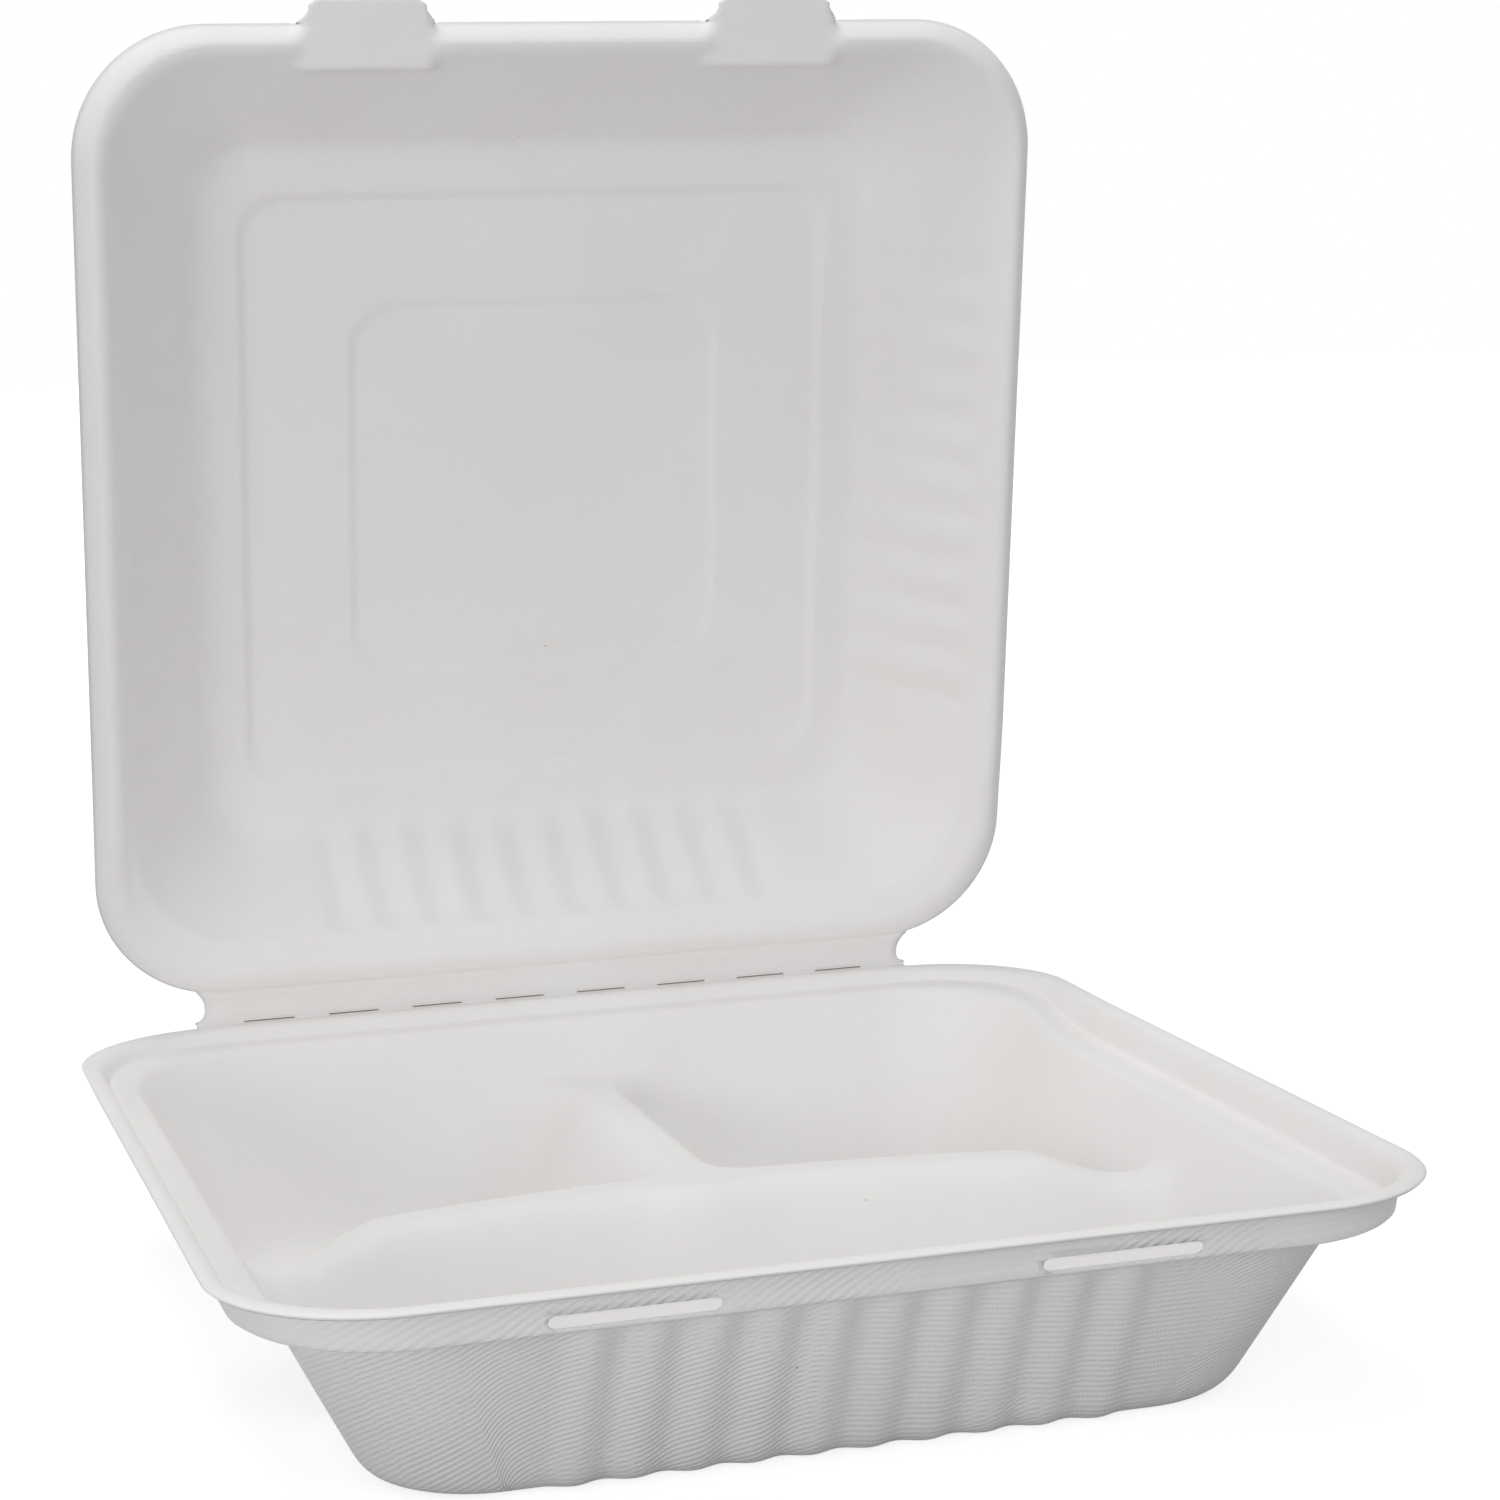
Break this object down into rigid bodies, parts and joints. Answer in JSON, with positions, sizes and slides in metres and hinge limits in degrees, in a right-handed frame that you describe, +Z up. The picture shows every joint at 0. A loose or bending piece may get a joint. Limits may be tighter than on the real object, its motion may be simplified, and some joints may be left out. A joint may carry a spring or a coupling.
{
  "type": "three-compartment meal box with hinged lid",
  "caption": "Square hinged meal box moulded from off-white sugarcane pulp, open, with one long and two small compartments, fluted walls and a panelled lid.",
  "frame": {"origin": "middle of the tray's footprint, on the table it stands on", "axes": "+Z up, +Y towards the hinge, +X to the right as seen from the front"},
  "size_m": [0.234, 0.256, 0.2769],
  "materials": {
    "pulp": "matt moulded sugarcane pulp"
  },
  "bodies": {
    "tray": {"tray": "pulp"},
    "lid": {"lid": "pulp"}
  },
  "joints": [
    {"name": "lid_hinge", "type": "hinge", "parent": "tray", "child": "lid", "pos_m": [0, 0.1184, 0.0468], "axis": [1, 0, 0], "range_deg": [-99, 81]}
  ]
}
